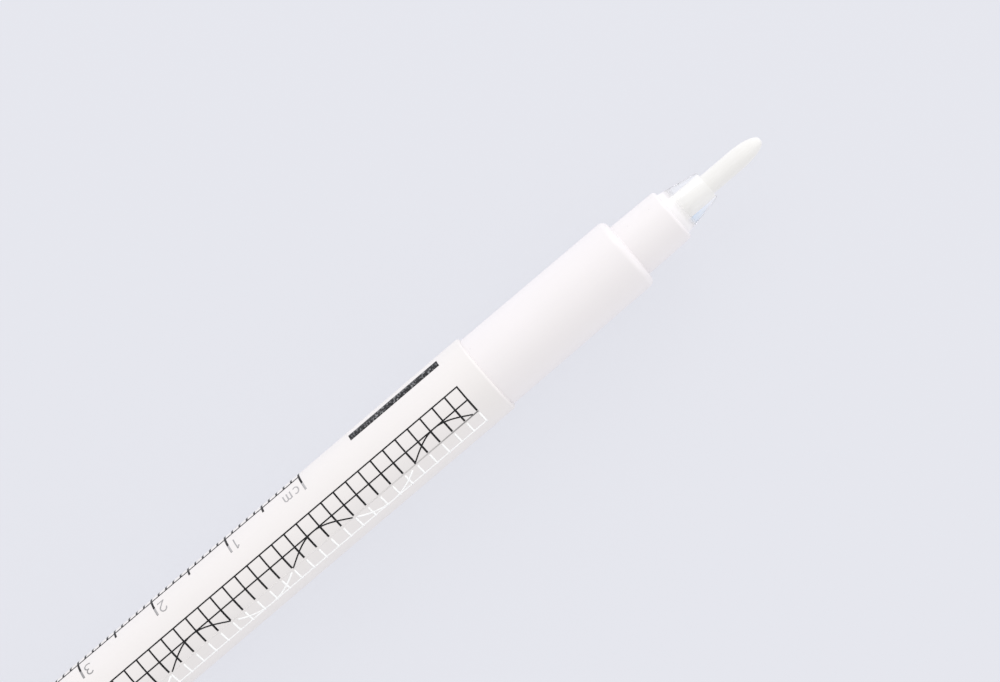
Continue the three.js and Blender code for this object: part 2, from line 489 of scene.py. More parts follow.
class MarkerShader(Shader):
    """The node tree of one of the marker's finishes, whose patterns follow the axis."""

    def __init__(self, material: bpy.types.Material, axis: Axis) -> None:
        """Empties the material's node tree.

        Args:
            material: The material that the tree belongs to.
            axis: The marker's axis.
        """
        super().__init__(material)
        self.axis = axis

    def mapped(self, along: float = 1.0) -> Signal:
        """Object coordinates in millimetres from the axis at station zero.

        Args:
            along: Scale along the axis. A small number draws a pattern out that way.

        Returns:
            The vector of station, sideways offset and height over the axis.
        """
        stretch = (along, 1.0, 1.0)
        scales = [factor / MM for factor in stretch]
        origin = (self.axis.x, self.axis.y, self.axis.z)
        offset = [-factor * start for factor, start in zip(stretch, origin)]
        coordinates = self.node("TexCoord").output("Object")
        return self.node("Mapping", {"Vector": coordinates, "Scale": scales, "Location": offset})

    def unrolled(self) -> tuple[Signal, Signal]:
        """The station, and the angle in radians from straight up towards +Y."""
        split = self.node("SeparateXYZ", {"Vector": self.mapped()})
        return split.output("X"), self.number("ARCTAN2", split.output("Y"), split.output("Z"))


@dataclass(frozen=True)
class Finish(ABC):
    """A named finish. Each kind of finish has its own closure."""

    name: str

    def material(self, axis: Axis) -> bpy.types.Material:
        """Builds the material.

        Args:
            axis: The marker's axis, which the patterns follow.

        Returns:
            The finished material.
        """
        material = bpy.data.materials.new(self.name)
        shader = MarkerShader(material, axis)
        shader.surface(self.closure(shader))
        return material

    @abstractmethod
    def closure(self, shader: MarkerShader) -> Signal:
        """Makes the closure of the surface.

        Args:
            shader: The material's shader.

        Returns:
            The closure.
        """


@dataclass(frozen=True)
class Specks:
    """Dark specks in some cells of a net that is rolled round a turned node.

    The core and the edge are the radii where a speck starts to fade and where it ends, in
    shares of a cell.
    """

    node: str
    share: float
    cells_per_mm: float = 0.35
    core: float = 0.012
    edge: float = 0.03
    strength: float = 0.2
    colour: Colour = (0.2, 0.2, 0.22)

    def over(self, shader: MarkerShader, ground: Signal) -> Signal:
        """Adds the specks to a colour.

        Args:
            shader: The material's shader.
            ground: The colour between the specks.

        Returns:
            The colour with its specks.
        """
        station, angle = shader.unrolled()
        arc = angle * shader.axis.radius_of(self.node)
        net = shader.node("CombineXYZ", {"X": station, "Y": arc})
        values = {"Vector": net, "Scale": self.cells_per_mm, "Randomness": 1.0}
        cells = shader.node("TexVoronoi", values, voronoi_dimensions="2D")
        chosen = shader.number("LESS_THAN", cells.output("Color"), self.share)
        near = 1.0 - shader.span(cells, self.core, self.edge)
        return shader.blended(near * chosen * self.strength, ground, self.colour)


@dataclass(frozen=True)
class MouldedPlastic(Finish):
    """White plastic with faint clouds, lines drawn out along the axis and a fine grain.

    The relief is the grain and the lines, which have the drawn share of it.
    """

    colour: Colour
    cloud_colour: Colour
    roughness: float
    grain: float
    relief: float
    drawn: float
    specks: Optional[Specks] = None
    cloud: float = 5.0
    cloud_share: float = 0.7
    tint_span: Pair = (0.3, 0.7)
    gloss_swing: float = 0.12
    line: float = 0.5
    line_stretch: float = 0.05
    index: float = 1.5

    def closure(self, shader: MarkerShader) -> Signal:
        """Makes the closure of the plastic.

        Args:
            shader: The material's shader.

        Returns:
            The closure.
        """
        even = shader.mapped()
        clouds = shader.noise(even, self.cloud)
        lines = shader.noise(shader.mapped(self.line_stretch), self.line)
        grain = shader.noise(even, self.grain, detail=2.0)
        tint = clouds * self.cloud_share + lines * (1.0 - self.cloud_share)
        tint = shader.span(tint, *self.tint_span)
        colour = shader.blended(tint, self.colour, self.cloud_colour)
        if self.specks:
            colour = self.specks.over(shader, colour)
        height = grain * (1.0 - self.drawn) + lines * self.drawn
        return shader.principled(
            {
                "Base Color": colour,
                "Roughness": (clouds - 0.5) * self.gloss_swing + self.roughness,
                "IOR": self.index,
                "Normal": shader.bump(height, self.relief),
            }
        )


@dataclass(frozen=True)
class ClearPlastic(Finish):
    """Clear glossy plastic with a faint painted glow, a milky foot and a painted blue reflection below
    it.

    The light that falls on the nib goes straight through it, so the nib inside stays bright.
    Stations come as the place where a thing starts to show and the place where it shows fully.
    """

    index: float
    haze: float
    colour: Colour
    milk_colour: Colour
    milk_stations: Pair
    trace_colour: Colour
    trace_arcs: Pair
    trace_stations: Pair
    trace_edge: float = 8.0
    trace_least: float = 0.8
    trace_swing: float = 0.4
    roughness: float = 0.01
    gloss_swing: float = 0.03
    milk_roughness: float = 0.3
    flow: float = 0.6
    flow_stretch: float = 0.15
    relief: float = 0.004

    def closure(self, shader: MarkerShader) -> Signal:
        """Makes the closure of the clear plastic over its milky foot.

        Args:
            shader: The material's shader.

        Returns:
            The closure.
        """
        station, angle = shader.unrolled()
        flow = shader.noise(shader.mapped(self.flow_stretch), self.flow, detail=2.0)
        bump = shader.bump(flow, self.relief)
        # Painted blue reflection: a blue tint on the cone's underside, strongest at its foot, standing
        # for a blue seen through the cone.
        low, high = (math.radians(degrees) for degrees in self.trace_arcs)
        edge = math.radians(self.trace_edge)
        across = shader.span(angle, low, low + edge) * shader.span(angle, high, high - edge)
        fading = shader.span(station, *self.trace_stations)
        strength = flow * self.trace_swing + self.trace_least
        blue_reflection = (across * fading * strength).clamped()
        clear = shader.principled(
            {
                "Base Color": shader.blended(blue_reflection, self.colour, self.trace_colour),
                "Roughness": flow * self.gloss_swing + self.roughness,
                "IOR": self.index,
                "Transmission Weight": 1.0,
                # Painted glow: a faint white emission that keeps the clear plastic's edges from going
                # dark.
                "Emission Color": opaque(WHITE),
                "Emission Strength": self.haze,
                "Normal": bump,
            }
        )
        milk = shader.principled(
            {"Base Color": opaque(self.milk_colour), "Roughness": self.milk_roughness, "Normal": bump}
        )
        body = shader.mixed(shader.span(station, *self.milk_stations), clear, milk)
        open_way = shader.node("BsdfTransparent")
        return shader.mixed(shader.rays("Shadow", "Diffuse"), body, open_way)


@dataclass(frozen=True)
class Fibre(Finish):
    """Bonded or wound fibre, with strands drawn out along the axis and fuzz between them, and painted
    shade that darkens the low parts of its relief.
    """

    colour: Colour
    shade: Colour
    strand: float
    relief: float
    strand_share: float = 0.7
    strand_stretch: float = 0.08
    shade_span: Pair = (0.35, 0.65)
    roughness: float = 0.82
    gloss_swing: float = 0.1
    index: float = 1.45

    def closure(self, shader: MarkerShader) -> Signal:
        """Makes the closure of the fibre.

        Args:
            shader: The material's shader.

        Returns:
            The closure.
        """
        drawn_out = shader.mapped(self.strand_stretch)
        strands = shader.noise(drawn_out, self.strand, detail=4.0)
        fuzz = shader.noise(shader.mapped(), self.strand)
        height = strands * self.strand_share + fuzz * (1.0 - self.strand_share)
        # Painted shade: the low parts of the relief, between the strands, get the darker colour.
        tint = shader.span(height, *self.shade_span)
        return shader.principled(
            {
                "Base Color": shader.blended(tint, self.shade, self.colour),
                "Roughness": fuzz * self.gloss_swing + self.roughness,
                "IOR": self.index,
                "Normal": shader.bump(height, self.relief),
            }
        )


@dataclass(frozen=True)
class WrapFilm(Finish):
    """Thin pale film with a few drawn wrinkles along the ink core."""

    colour: Colour
    cloud_colour: Colour
    wrinkle: float = 0.9
    wrinkle_stretch: float = 0.1
    relief: float = 0.03
    roughness: float = 0.12
    gloss_swing: float = 0.2

    def closure(self, shader: MarkerShader) -> Signal:
        """Makes the closure of the film.

        Args:
            shader: The material's shader.

        Returns:
            The closure.
        """
        drawn_out = shader.mapped(self.wrinkle_stretch)
        wrinkles = shader.noise(drawn_out, self.wrinkle, detail=4.0)
        return shader.principled(
            {
                "Base Color": shader.blended(wrinkles, self.colour, self.cloud_colour),
                "Roughness": wrinkles * self.gloss_swing + self.roughness,
                "Normal": shader.bump(wrinkles, self.relief),
            }
        )


@dataclass(frozen=True)
class Ink(Finish):
    """Printing ink with worn patches, which can fade between two stations of the barrel.

    Its colour is the weak one at the first station and beyond it, and the strong one at the
    second. The strength between them is the square of a straight rise. The grey ink's weak colour is
    painted glare on black ink, and the fading ink's weak colour is lightened by a painted reflection.
    """

    strong: Colour
    weak: Optional[Colour] = None
    fading: Pair = (0.0, 0.0)
    mottle: float = 0.04
    patch: float = 0.2
    patch_colour: Colour = (0.6, 0.6, 0.62)
    patch_stretch: float = 0.45
    patch_span: Pair = (0.5, 0.7)
    roughness: float = 0.3
    gloss_swing: float = 0.2
    relief: float = 0.004
    shine: float = 0.12

    def closure(self, shader: MarkerShader) -> Signal:
        """Makes the closure of the ink.

        Args:
            shader: The material's shader.

        Returns:
            The closure.
        """
        station, angle = shader.unrolled()
        arc = angle * shader.axis.barrel_radius * self.patch_stretch
        net = shader.node("CombineXYZ", {"X": station, "Y": arc})
        patches = shader.span(shader.noise(net, self.patch), *self.patch_span)
        colour = self.strong
        if self.weak:
            strength = shader.span(station, *self.fading)
            colour = shader.blended(strength * strength, self.weak, self.strong)
        return shader.principled(
            {
                "Base Color": shader.blended(patches * self.mottle, colour, self.patch_colour),
                "Roughness": patches * self.gloss_swing + self.roughness,
                "Specular IOR Level": self.shine,
                "Normal": shader.bump(patches, self.relief),
            }
        )


@dataclass(frozen=True)
class Piece:
    """A piece's name and body, and the frame's node and material slot that it stands for."""

    name: str
    body: Body
    node: Optional[str] = None
    slot: Optional[str] = None


@dataclass(frozen=True)
class Workshop:
    """Puts finished shells into the scene, on their bodies and in their finishes."""

    axis: Axis

    def place(self, piece: Piece, shell: Shell, material: bpy.types.Material) -> None:
        """Makes one piece of the marker, as an object at the origin.

        Args:
            piece: What it is.
            shell: Its surface.
            material: Its finish.
        """
        made = bpy.data.objects.new(piece.name, shell.mesh(piece.name))
        bpy.context.scene.collection.objects.link(made)
        made.data.materials.append(material)
        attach(made, piece.body.value)
        if piece.node:
            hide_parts(piece.node)
        triangles = len(shell.quads) * 2 + len(shell.triangles)
        LOG.info("%s: %d triangles, on %s", piece.name, triangles, piece.body.value)

    def turn(self, piece: Piece, corners: Sequence[Corner], material: bpy.types.Material) -> None:
        """Makes one turned piece of the marker.

        Args:
            piece: What it is.
            corners: The corners of its outline.
            material: Its finish.
        """
        self.place(piece, turned(self.axis, outline(corners)), material)


@dataclass(frozen=True)
class BarrelTube:
    """The white tube that carries the print."""

    wall: float = 0.975
    front_edge: float = 0.3
    rear_edge: float = 0.12

    def build(self, shop: Workshop, plastic: bpy.types.Material) -> None:
        """Adds the tube.

        Args:
            shop: Places the piece.
            plastic: The barrel's finish.
        """
        rear, front = shop.axis.stations("barrel")
        outer = shop.axis.barrel_radius
        bore = outer - self.wall
        corners = [
            Corner(front, outer, self.front_edge),
            Corner(rear, outer, self.rear_edge),
            Corner(rear, bore),
            Corner(front, bore),
        ]
        shop.turn(Piece("barrel_tube", Body.PEN, "barrel", "barrel_plastic"), corners, plastic)


@dataclass(frozen=True)
class GripMoulding:
    """The smooth front collar with its neck, and the spigot inside the barrel."""

    length: float = 19.28
    collar_draft: float = 0.09
    collar_edge: float = 0.8
    neck_step: float = 1.115
    neck_draft: float = 0.1
    neck_edge: float = 0.4
    neck_wall: float = 0.6
    neck_foot: float = 0.1
    mouth_edge: float = 0.03
    front_wall: float = 1.2
    spigot_step: float = 0.645
    spigot_wall: float = 0.5
    spigot_lead: float = 0.3
    seat: float = -0.06

    def build(self, shop: Workshop, plastic: bpy.types.Material) -> None:
        """Adds the moulding.

        Args:
            shop: Places the piece.
            plastic: The section's finish.
        """
        rear, front = shop.axis.stations("grip_section")
        outer = shop.axis.radius_of("grip_section")
        neck = outer - self.neck_step
        spigot = outer - self.spigot_step
        pocket = spigot - self.spigot_wall
        neck_bore = neck - self.neck_wall
        stop = self.length - self.front_wall
        corners = [
            Corner(front, neck_bore, self.mouth_edge),
            Corner(front, neck - self.neck_draft, self.neck_edge),
            Corner(self.length, neck, self.neck_foot),
            Corner(self.length, outer - self.collar_draft, self.collar_edge),
            Corner(self.seat, outer),
            Corner(self.seat, spigot),
            Corner(rear + self.spigot_lead, spigot),
            Corner(rear, spigot - self.spigot_lead),
            Corner(rear, pocket),
            Corner(stop, pocket),
            Corner(stop, neck_bore),
        ]
        piece = Piece("grip_moulding", Body.PEN, "grip_section", "section_plastic")
        shop.turn(piece, corners, plastic)


@dataclass(frozen=True)
class NibSet:
    """The clear cone that holds the nib, and the fibre nib itself."""

    neck_front: float = 25.1
    cone_base: float = 2.535
    cone_foot: float = 0.3
    mouth_wall: float = 0.5
    mouth_edge: float = 0.12
    flange_length: float = 1.4
    bore_bite: float = 0.01
    bullet_length: float = 3.3
    tip_flat: float = 0.15
    tail_taper: float = 1.2
    tip_shares: tuple[float, ...] = (0.0, 0.5, 0.9)
    tail_shares: tuple[float, ...] = (0.5, 0.25, 0.0)
    bullet_points: int = 28
    rod_points: int = 14
    facets: int = 96

    def build(self, shop: Workshop, clear: bpy.types.Material, fibre: bpy.types.Material) -> None:
        """Adds both pieces.

        Args:
            shop: Places the pieces.
            clear: The cone's finish.
            fibre: The nib's finish.
        """
        axis = shop.axis
        nib = axis.radius_of("nib")
        cone = Piece("nib_cone", Body.PEN, "nib_holder", "clear_plastic")
        shop.turn(cone, self.cone_corners(axis, nib), clear)
        rod = turned(axis, self.nib_profile(axis, nib), self.facets)
        shop.place(Piece("fibre_nib", Body.PEN, "nib", "nib_fibre"), rod, fibre)

    def cone_corners(self, axis: Axis, nib: float) -> list[Corner]:
        """The cone's outline, whose bore lies just inside the nib, so that no air is between.

        Args:
            axis: The marker's axis.
            nib: The nib's radius.

        Returns:
            The corners, from the mouth to the rear on the outside and back along the bore.
        """
        rear, front = axis.stations("nib_holder")
        flange = axis.radius_of("nib_holder")
        bore = nib - self.bore_bite
        return [
            Corner(front, nib + self.mouth_wall, self.mouth_edge),
            Corner(self.neck_front, self.cone_base, self.cone_foot),
            Corner(rear + self.flange_length, self.cone_base),
            Corner(rear + self.flange_length, flange),
            Corner(rear, flange),
            Corner(rear, bore),
            Corner(front, bore),
        ]

    def nib_profile(self, axis: Axis, radius: float) -> np.ndarray:
        """The nib's outline: a quarter ellipse over a blunt tip, a straight rod and a tail.

        Args:
            axis: The marker's axis.
            radius: The rod's radius.

        Returns:
            Stations and radii from the tip to the tail.
        """
        tail, tip = axis.stations("nib")

        def end_face(station: float, rim: float, shares: Sequence[float]) -> np.ndarray:
            """Points at one station, at shares of the rim's radius."""
            return np.array([[station, rim * share] for share in shares])

        angle = np.linspace(0.0, math.pi / 2, self.bullet_points)
        station = tip - self.bullet_length * (1.0 - np.cos(angle))
        bullet = np.stack([station, self.tip_flat + (radius - self.tip_flat) * np.sin(angle)], axis=-1)
        rod = np.linspace(tip - self.bullet_length, tail + self.tail_taper, self.rod_points)[1:]
        shaft = np.stack([rod, np.full_like(rod, radius)], axis=-1)
        blunt = end_face(tip, self.tip_flat, self.tip_shares)
        return np.concatenate([blunt, bullet, shaft, end_face(tail, radius, self.tail_shares)])


@dataclass(frozen=True)
class RearPost:
    """The plug that closes the barrel and carries the cap on its post."""

    post_gap: float = 0.05
    spigot_step: float = 1.025
    spigot_wall: float = 0.5
    spigot_lead: float = 0.3
    pocket_round: float = 0.2
    end_wall: float = 1.0
    end_edge: float = 0.4

    def build(self, shop: Workshop, plastic: bpy.types.Material) -> None:
        """Adds the post.

        Args:
            shop: Places the piece.
            plastic: The barrel's finish.
        """
        rear, front = shop.axis.stations("rear_plug")
        shoulder = shop.axis.stations("barrel")[0] - self.post_gap
        outer = shop.axis.radius_of("rear_plug")
        spigot = shop.axis.barrel_radius - self.spigot_step
        pocket = spigot - self.spigot_wall
        floor = rear + self.end_wall
        corners = [
            Corner(floor, 0.0),
            Corner(floor, pocket, self.pocket_round),
            Corner(front, pocket),
            Corner(front, spigot - self.spigot_lead),
            Corner(front - self.spigot_lead, spigot),
            Corner(shoulder, spigot),
            Corner(shoulder, outer),
            Corner(rear, outer, self.end_edge),
            Corner(rear, 0.0),
        ]
        shop.turn(Piece("rear_post", Body.PEN, "rear_plug", "barrel_plastic"), corners, plastic)


@dataclass(frozen=True)
class Cap:
    """The cap with its pocket clip, and the liner that keeps the nib wet."""

    gap: float = 0.06
    wall: float = 0.7
    end_wall: float = 1.2
    end_round: float = 1.1
    floor_round: float = 0.1
    rim_length: float = 3.0
    rim_foot: float = 0.5
    mouth_edge: float = 0.1
    edge: float = 0.12
    press_gap: float = 0.05

    def build(self, shop: Workshop, plastic: bpy.types.Material, liner: bpy.types.Material) -> None:
        """Adds the cap, its clip and its liner.

        Args:
            shop: Places the pieces.
            plastic: The cap's finish.
            liner: The liner's finish.
        """
        axis = shop.axis
        bore = axis.radius_of("grip_section") + self.gap
        pocket = axis.radius_of("cap_inner_seal") + self.press_gap
        rim = bore + self.wall
        cup = Piece("cap_cup", Body.CAP, "cap_shell", "cap_plastic")
        shop.turn(cup, self.cup_corners(axis, bore, pocket, rim), plastic)
        clip = Clip(rear=axis.stations("cap_shell")[0], rim=rim, foot=pocket + self.wall / 2)
        shop.place(Piece("cap_clip", Body.CAP, "cap_shell", "cap_plastic"), clip.shell(axis), plastic)
        inner = Piece("cap_liner", Body.CAP, "cap_inner_seal", "seal_plastic")
        shop.turn(inner, Liner().corners(axis), liner)

    def cup_corners(self, axis: Axis, bore: float, pocket: float, rim: float) -> list[Corner]:
        """The cap's outline: the bore from its floor to the mouth, then the outside.

        Args:
            axis: The marker's axis.
            bore: The radius that takes the grip section.
            pocket: The radius that takes the liner.
            rim: The outer radius of the band at the mouth.

        Returns:
            The corners, which start and end on the axis.
        """
        rear, mouth = axis.stations("cap_shell")
        seal_mouth = axis.stations("cap_inner_seal")[1]
        floor = rear + self.end_wall
        return [
            Corner(floor, 0.0),
            Corner(floor, pocket, self.floor_round),
            Corner(seal_mouth, pocket),
            Corner(seal_mouth, bore),
            Corner(mouth, bore, self.mouth_edge),
            Corner(mouth, rim, self.edge),
            Corner(mouth - self.rim_length, rim, self.rim_foot),
            Corner(rear, pocket + self.wall, self.end_round),
            Corner(rear, 0.0),
        ]


@dataclass(frozen=True)
class Liner:
    """The soft cup inside the cap, with a lip at its mouth."""

    wall: float = 0.55
    end_wall: float = 0.7
    lip_height: float = 0.25
    lip_length: float = 1.2
    floor_round: float = 0.2
    lip_round: float = 0.1
    mouth_edge: float = 0.08
    end_edge: float = 0.1

    def corners(self, axis: Axis) -> list[Corner]:
        """The liner's outline: the bore from its floor to the lip, then the outside.

        Args:
            axis: The marker's axis.

        Returns:
            The corners, which start and end on the axis.
        """
        rear, mouth = axis.stations("cap_inner_seal")
        outer = axis.radius_of("cap_inner_seal")
        bore = outer - self.wall
        lip = bore - self.lip_height
        floor = rear + self.end_wall
        return [
            Corner(floor, 0.0),
            Corner(floor, bore, self.floor_round),
            Corner(mouth - self.lip_length, bore, self.lip_round),
            Corner(mouth - self.lip_length / 2, lip, self.lip_round),
            Corner(mouth, lip, self.mouth_edge),
            Corner(mouth, outer, self.mouth_edge),
            Corner(rear, outer, self.end_edge),
            Corner(rear, 0.0),
        ]


def fallen_short(distance: np.ndarray, radius: float) -> np.ndarray:
    """How far a quarter circle that ends a straight edge lies under the edge.

    Args:
        distance: Distances from the end.
        radius: The circle's radius, beyond which the edge is straight.

    Returns:
        The radius times 1 - sqrt(1 - share²), with the share 1 at the end and 0 at the radius.
    """
    share = np.clip(1.0 - distance / radius, 0.0, 1.0)
    return radius * (1.0 - np.sqrt(1.0 - share**2))


@dataclass(frozen=True)
class Clip:
    """The pocket clip, as a rounded section carried along the cap.

    The rear and the rim are the cap's, and the foot is the radius where the root's inner edge
    lies, inside the cap's wall.
    """

    rear: float
    rim: float
    foot: float
    length: float = 30.0
    width: float = 3.6
    thickness: float = 1.25
    slot: float = 1.2
    setback: float = 0.9
    root_length: float = 4.2
    root_rise: float = 1.2
    root_round: float = 1.6
    bead: float = 0.9
    tip_round: float = 0.6
    root_pinch: float = 0.25
    tip_pinch: float = 0.35
    pinched: float = 0.14
    squareness: float = 0.28
    sections: int = 240
    facets: int = 48

    def shell(self, axis: Axis) -> Shell:
        """Carries the section along the cap.

        A section's point lies at middle + half height times depth and at half width times
        side, where depth and side are the cosine and sine of the turn, each raised to a small
        power that squares the circle. The whole is turned down by the droop.

        Args:
            axis: The marker's axis.

        Returns:
            The clip's closed shell.
        """
        start = self.rear + self.setback
        tip = start + self.length
        steps = np.linspace(0.0, math.pi, self.sections)
        station = start + (tip - start) * (1.0 - np.cos(steps)) / 2
        inner, outer = self.edges(station, start, tip)
        turn = np.linspace(0.0, 2 * math.pi, self.facets, endpoint=False)
        side, depth = (
            np.sign(wave) * np.abs(wave) ** self.squareness for wave in (np.sin(turn), np.cos(turn))
        )
        reach = ((outer + inner) / 2)[:, None] + ((outer - inner) / 2)[:, None] * depth[None, :]
        across = self.half_widths(station, start, tip)[:, None] * side[None, :]
        droop = self.droop()
        y = reach * math.cos(droop) + across * math.sin(droop)
        z = -reach * math.sin(droop) + across * math.cos(droop)
        x = np.broadcast_to(station[:, None], y.shape)
        grid = np.stack([axis.x + x, axis.y + y, axis.z + z], axis=-1) * MM
        return Shell.capped(grid, np.array([grid[0].mean(0), grid[-1].mean(0)]))

    def edges(self, station: np.ndarray, start: float, tip: float) -> tuple[np.ndarray, np.ndarray]:
        """Where the section's inner and outer edge lie.

        The outer edge is flat and rounds off towards both ends. The inner edge lies on the
        foot over the root, rises to the arm's inner face over a smooth step, and bulges in by
        a half circle at the bead.

        Args:
            station: The sections' stations.
            start: The station of the clip's rear end.
            tip: The station of its free end.

        Returns:
            The inner and the outer edge's distances from the axis.
        """
        inner_face = self.rim + self.slot
        step = np.clip((station - start - self.root_length) / self.root_rise + 0.5, 0.0, 1.0)
        rise = step * step * (3.0 - 2.0 * step)
        from_bead = (station - (tip - self.bead)) / self.bead
        bulge = self.bead * np.sqrt(np.clip(1.0 - from_bead**2, 0.0, 1.0))
        inner = self.foot + (inner_face - self.foot) * rise - bulge
        outer = inner_face + self.thickness - fallen_short(station - start, self.root_round)
        return inner, outer - fallen_short(tip - station, self.tip_round)

    def half_widths(self, station: np.ndarray, start: float, tip: float) -> np.ndarray:
        """Half the sections' widths, which draw in by a root over a short way at both ends.

        Args:
            station: The sections' stations.
            start: The station of the clip's rear end.
            tip: The station of its free end.

        Returns:
            Half the width of each section.
        """
        at_tip = np.sqrt(np.clip((tip - station) / self.tip_pinch, 0.0, 1.0))
        at_root = np.sqrt(np.clip((station - start) / self.root_pinch, 0.0, 1.0))
        return self.width / 2 * (1.0 - self.pinched + self.pinched * at_tip * at_root)

    def droop(self) -> float:
        """How far the clip turns below the horizontal, so that it and the rim touch the floor.

        Returns:
            The angle in radians.
        """
        outer_face = self.rim + self.slot + self.thickness
        half_width = self.width / 2
        corner = math.atan2(half_width, outer_face)
        return math.asin(self.rim / math.hypot(outer_face, half_width)) - corner


class PrintInk(Enum):
    """The inks of the print."""

    BLACK = Ink("ink_black", NEAR_BLACK)
    BAR = Ink("ink_bar", (0.014, 0.014, 0.015), mottle=0.6, patch=0.25)
    # Painted glare: black ink greyed most near the barrel's front and nearly black towards the rear, as
    # if washed out by light.
    GREY = Ink("ink_painted_glare", (0.03, 0.03, 0.032), (0.45, 0.44, 0.45), (-18.0, -76.0))
    # Its weak colour is the barrel plastic's, lightened as painted reflection to make up for the
    # plastic's sheen that the ink lacks.
    FADING = Ink("ink_fading", NEAR_BLACK, (0.812, 0.782, 0.774), (-25.0, 0.0))
    WHITE = Ink("ink_white", WHITE)


class Layer(Enum):
    """Extra heights of the ink, which keep strips clean where they cross."""

    LINES = 0.0
    SIGNS = 0.001
    COLUMNS = 0.002
    WAVE = 0.004


@dataclass(frozen=True)
class Press:
    """Lays strips of ink on the barrel, from just inside the plastic to the ink's top."""

    shop: Workshop
    inks: Mapping[PrintInk, bpy.types.Material]
    lift: float = 0.012
    sink: float = 0.03
    long_step: float = 2.0
    cross_step: float = 0.2

    def add(self, name: str, strips: Sequence[Shell], ink: PrintInk) -> None:
        """Joins strips into one printed piece."""
        self.shop.place(Piece(name, Body.PEN), Shell.joined(strips), self.inks[ink])

    def arc(self, degrees: float) -> float:
        """Arc length of an angle on the barrel."""
        return math.radians(degrees) * self.shop.axis.barrel_radius

    @staticmethod
    def points_between(first: float, last: float, step: float) -> int:
        """Number of points from one value to another, about a step apart and at least three."""
        return max(2, round(abs(last - first) / step)) + 1

    def strip(self, path: np.ndarray, width: float, layer: Layer) -> Shell:
        """A flat strip of ink along a path on the barrel.

        Its section is a rectangle. A point is the path's point moved half the width to either
        side, wrapped round the barrel.

        Args:
            path: Distances and arc lengths, one point in each row.
            width: The strip's width.
            layer: Where it lies over or under others.

        Returns:
            The strip's closed shell.
        """
        tangent = np.gradient(path, axis=0)
        tangent /= np.linalg.norm(tangent, axis=1)[:, None]
        left = np.stack([tangent[:, 1], -tangent[:, 0]], axis=-1) * width / 2
        sides = np.stack([path + left, path + left, path - left, path - left], axis=1)
        radius = self.shop.axis.barrel_radius
        top = radius + self.lift + layer.value
        heights = np.array([radius - self.sink, top, top, radius - self.sink])
        points = self.shop.axis.points(-sides[..., 0], heights[None, :], sides[..., 1] / radius)
        count = len(path)
        ends = np.array([[3, 2, 1, 0], np.arange(4) + (count - 1) * 4])
        return Shell(points.reshape(-1, 3), np.concatenate([quad_grid(count, 4), ends]), NO_TRIANGLES)

    def lengthwise(self, start: float, end: float, degrees: float, width: float) -> Shell:
        """A strip along the barrel.

        Args:
            start: The distance where it starts.
            end: The distance where it ends.
            degrees: Its angle.
            width: Its width.

        Returns:
            The strip's closed shell, in the lowest layer.
        """
        count = self.points_between(start, end, self.long_step)
        distances = np.linspace(start, end, count)
        path = np.stack([distances, np.full(count, self.arc(degrees))], axis=-1)
        return self.strip(path, width, Layer.LINES)

    def crosswise(
        self, distance: float, arcs: Pair, width: float, layer: Layer = Layer.COLUMNS
    ) -> Shell:
        """A strip round the barrel.

        Args:
            distance: The distance of its middle line.
            arcs: The angles where it starts and ends.
            width: Its width.
            layer: Where it lies over or under others.

        Returns:
            The strip's closed shell.
        """
        low, high = (self.arc(degrees) for degrees in arcs)
        count = self.points_between(low, high, self.cross_step)
        path = np.stack([np.full(count, distance), np.linspace(low, high, count)], axis=-1)
        return self.strip(path, width, layer)


@dataclass(frozen=True)
class Bar:
    """The black bar, solid from end to end."""

    start: float = 3.09
    length: float = 11.88
    arcs: Pair = (53.8, 67.6)

    def build(self, press: Press) -> None:
        """Prints the bar.

        Args:
            press: Lays the ink.
        """
        middle = self.start + self.length / 2
        bar = press.crosswise(middle, self.arcs, self.length, Layer.LINES)
        press.add("print_bar", [bar], PrintInk.BAR)


@dataclass(frozen=True)
class Ruler:
    """The centimetre ruler. Read with the nib to the left, its base line is below its numbers."""

    zero: float = 21.62
    centimetres: int = 6
    line: float = 0.24
    tick: float = 0.235
    base_arc: float = 71.6
    outer_arc: float = 92.0
    half_arc: float = 59.5
    full_arc: float = 52.9
    full_end_arc: float = 39.2
    sign_height: float = 1.5
    sign_width: float = 0.92
    sign_foot: float = 56.3
    stroke: float = 0.14
    number_gap: float = 0.3
    unit_gap: float = 0.45
    letter_pitch: float = 1.05

    def build(self, press: Press) -> None:
        """Prints the base line and the ticks, and in grey the inner ends of the long ticks and the
        signs, where the grey is painted glare on black ink.

        Args:
            press: Lays the ink.
        """
        length = CENTIMETRE * self.centimetres
        half = self.tick / 2
        base = press.lengthwise(self.zero - half, self.zero + length + half, self.base_arc, self.line)
        press.add("ruler_base_line", [base], PrintInk.BLACK)
        ticks, ends = [], []
        for millimetre in range(length + 1):
            place = self.zero + millimetre
            inner = self.base_arc
            if millimetre % HALF_CENTIMETRE == 0:
                inner = self.half_arc
            if millimetre % CENTIMETRE == 0:
                inner = self.full_arc
                ends.append(press.crosswise(place, (self.full_end_arc, self.full_arc), self.tick))
            ticks.append(press.crosswise(place, (inner, self.outer_arc), self.tick))
        press.add("ruler_ticks", ticks, PrintInk.BLACK)
        signs = []
        for count in range(1, self.centimetres + 1):
            right = self.zero + CENTIMETRE * count - half - self.number_gap
            signs += self.sign(press, str(count), right - self.sign_width)
        unit = self.zero + half + self.unit_gap
        signs += self.sign(press, "c", unit)
        signs += self.sign(press, "m", unit + self.letter_pitch)
        # The tick ends and the signs are in the painted-glare grey.
        press.add("ruler_tick_ends", ends, PrintInk.GREY)
        press.add("ruler_numbers", signs, PrintInk.GREY)

    def sign(self, press: Press, name: str, left: float) -> list[Shell]:
        """One number or letter.

        Args:
            press: Lays the ink.
            name: The number or letter.
            left: Its left edge, as a distance behind the barrel's front face.

        Returns:
            One strip for each stroke.
        """
        corner = np.array([left, press.arc(self.sign_foot)])
        size = np.array([self.sign_width, -self.sign_height])
        paths = [stroke * size + corner for stroke in SIGNS[name]]
        return [press.strip(path, self.stroke, Layer.SIGNS) for path in paths]


